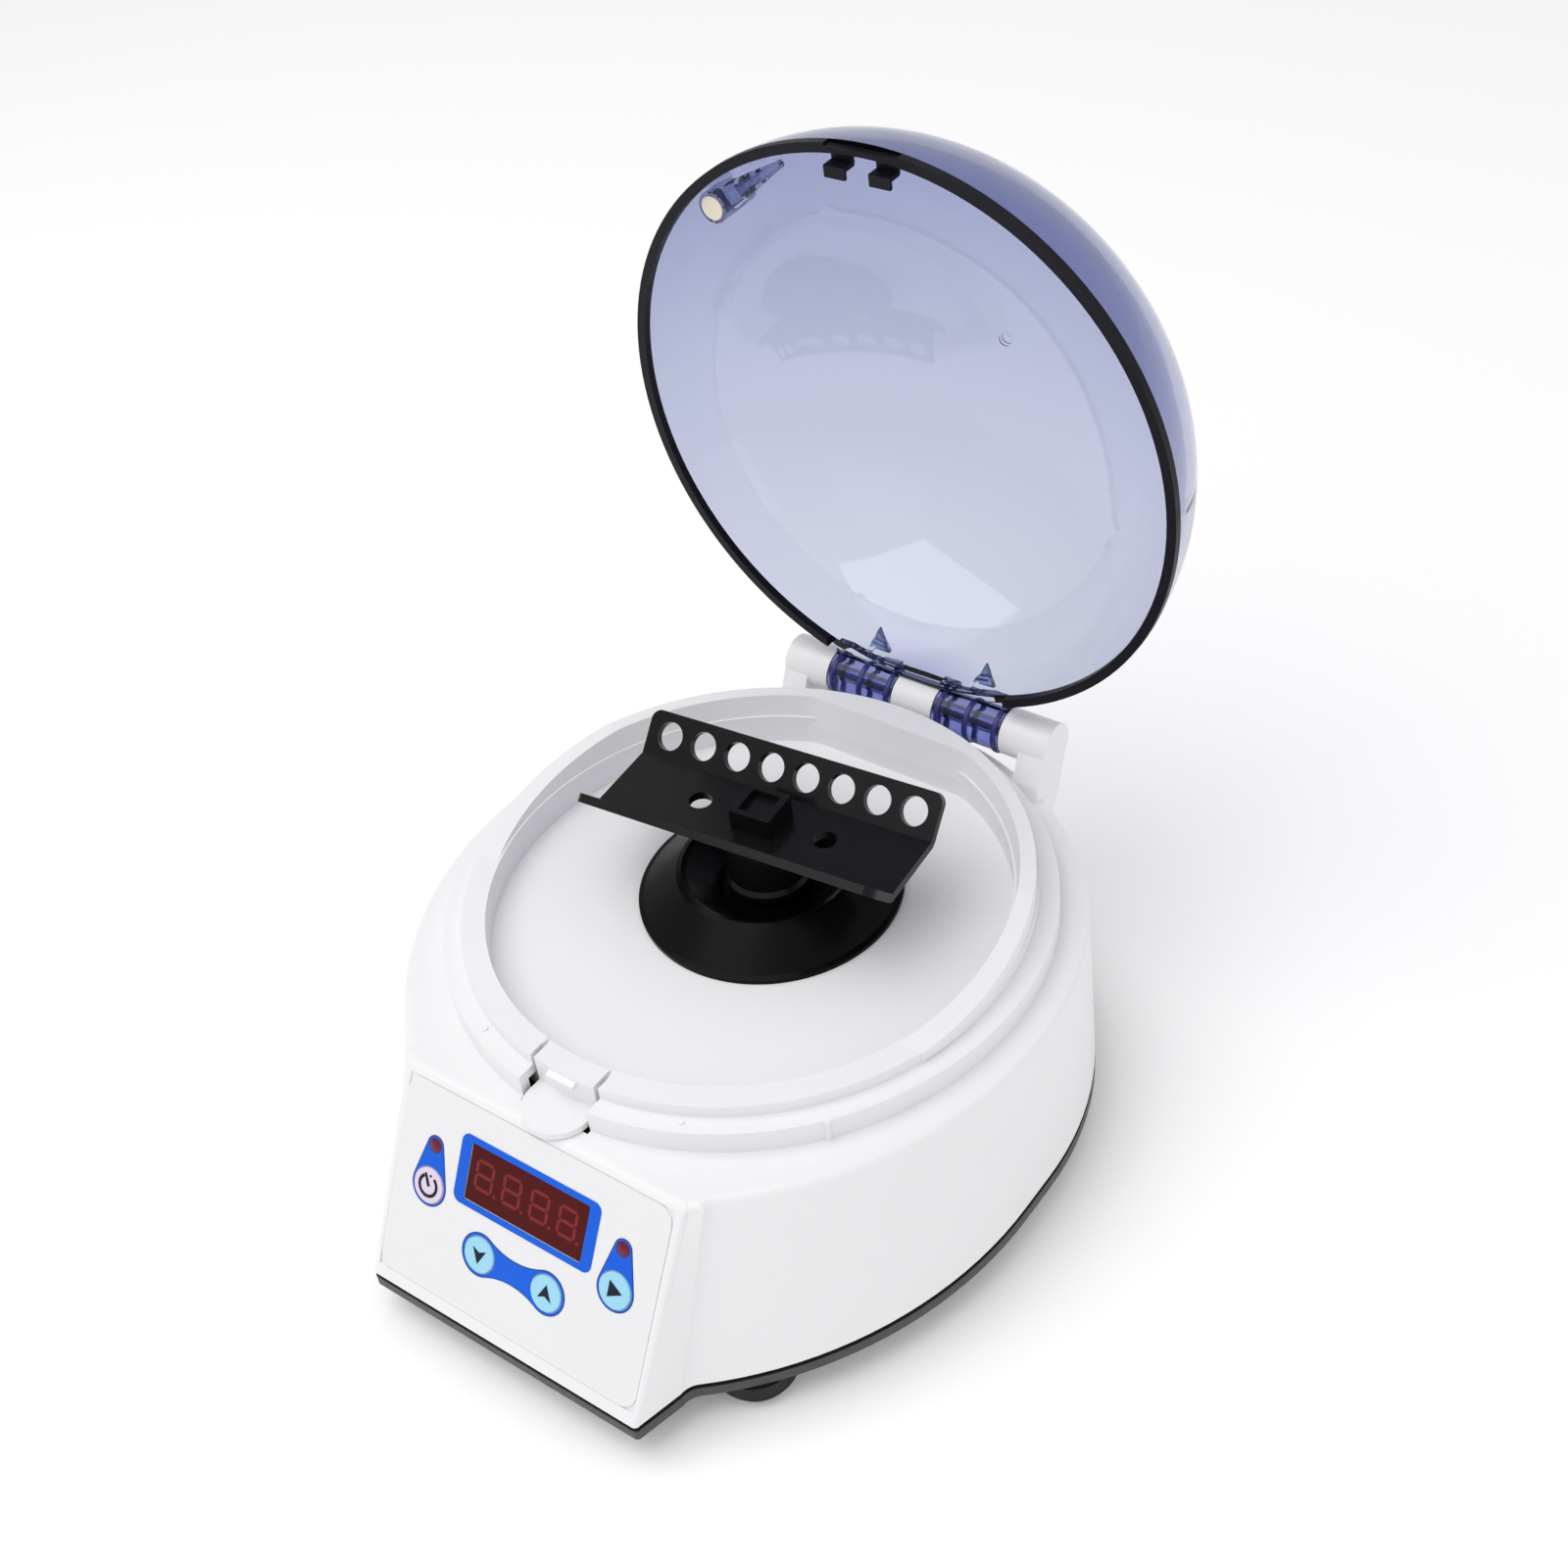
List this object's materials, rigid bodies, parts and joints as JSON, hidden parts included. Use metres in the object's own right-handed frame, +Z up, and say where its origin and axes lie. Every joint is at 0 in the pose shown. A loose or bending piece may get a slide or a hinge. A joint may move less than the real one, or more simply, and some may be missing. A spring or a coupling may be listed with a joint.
{
  "type": "mini centrifuge",
  "caption": "Laboratory mini centrifuge for strips of small tubes: white housing with a sloping key panel, round chamber, folded black strip rotor and a hinged clear dome lid, shown open.",
  "frame": {"origin": "on the bench plane, on the rotor's spin axis", "axes": "+Z up along the rotor's spin axis, -Y towards the control panel and the user, +X to the user's right"},
  "size_m": [0.1512, 0.2151, 0.2091],
  "materials": {
    "white_plastic": "glossy",
    "bowl_plastic": "glossy",
    "dome_plastic": "clear tinted",
    "seal_black": "satin",
    "black_rubber": "satin",
    "feet_rubber": "matte",
    "base_black": "satin",
    "rotor_black": "glossy",
    "label_film": "satin",
    "window_red": "glossy",
    "display_block": "matte",
    "board_green": "satin",
    "part_black": "satin",
    "key_pale": "satin",
    "key_cyan": "satin",
    "led_red": "glossy",
    "spring_steel": "satin",
    "screw_steel": "satin",
    "shaft_steel": "polished",
    "can_steel": "satin",
    "magnet_cream": "matte",
    "ferrite": "matte",
    "core_steel": "satin",
    "bush_brass": "satin",
    "bracket_steel": "satin"
  },
  "bodies": {
    "base": {"upper_housing": "white_plastic", "chamber_bowl": "bowl_plastic", "base_plate": "base_black", "rubber_feet": "feet_rubber", "base_screws": "screw_steel", "control_overlay": "label_film", "display_window": "window_red", "display_module": "display_block", "control_board": "board_green", "tact_switches": "part_black", "indicator_leds": "led_red", "latch_spring": "spring_steel", "hinge_pin": "shaft_steel", "lid_sensor": "part_black", "shaft_boot": "black_rubber", "motor_can": "can_steel", "motor_end_cap": "part_black", "motor_bushes": "bush_brass", "motor_magnets": "ferrite", "motor_bracket": "bracket_steel", "motor_isolators": "black_rubber", "motor_screws": "screw_steel", "main_board": "board_green", "main_board_parts": "part_black", "dc_jack": "part_black", "power_switch": "part_black"},
    "lid": {"lid_dome": "dome_plastic", "lid_seal": "seal_black", "lid_magnet": "magnet_cream"},
    "rotor": {"rotor_plate": "rotor_black", "rear_tube_rail": "rotor_black", "front_tube_rail": "rotor_black", "rotor_hub": "rotor_black", "motor_shaft": "shaft_steel", "motor_armature": "core_steel"},
    "latch": {"latch_tab": "white_plastic"},
    "time_key": {"time_key": "key_pale"},
    "start_key": {"start_key": "key_cyan"},
    "down_key": {"down_key": "key_cyan"},
    "up_key": {"up_key": "key_cyan"},
    "rocker": {"power_rocker": "part_black"}
  },
  "joints": [
    {"name": "lid_hinge", "type": "hinge", "parent": "base", "child": "lid", "pos_m": [0, 0.0636, 0.0664], "axis": [1, 0, 0], "range_deg": [0, 88.5]},
    {"name": "rotor_spin", "type": "hinge", "parent": "base", "child": "rotor", "pos_m": [0, 0, 0.0776], "axis": [0, 0, 1], "continuous": true},
    {"name": "latch_slide", "type": "slide", "parent": "base", "child": "latch", "axis": [0, 1, 0], "range_m": [0, 0.0014], "stiffness_N_per_m": 600, "springref_m": -0.0015, "deforming": ["latch_spring"]},
    {"name": "time_key_press", "type": "slide", "parent": "base", "child": "time_key", "axis": [0, 0.8698, -0.4935], "range_m": [0, 0.0004], "stiffness_N_per_m": 1500, "springref_m": -0.0003},
    {"name": "start_key_press", "type": "slide", "parent": "base", "child": "start_key", "axis": [0, 0.8698, -0.4935], "range_m": [0, 0.0004], "stiffness_N_per_m": 1500, "springref_m": -0.0003},
    {"name": "down_key_press", "type": "slide", "parent": "base", "child": "down_key", "axis": [0, 0.8698, -0.4935], "range_m": [0, 0.0004], "stiffness_N_per_m": 1500, "springref_m": -0.0003},
    {"name": "up_key_press", "type": "slide", "parent": "base", "child": "up_key", "axis": [0, 0.8698, -0.4935], "range_m": [0, 0.0004], "stiffness_N_per_m": 1500, "springref_m": -0.0003},
    {"name": "rocker_tilt", "type": "hinge", "parent": "base", "child": "rocker", "pos_m": [0.013, 0.0592, 0.027], "axis": [1, 0, 0], "range_deg": [-14, 0]}
  ]
}
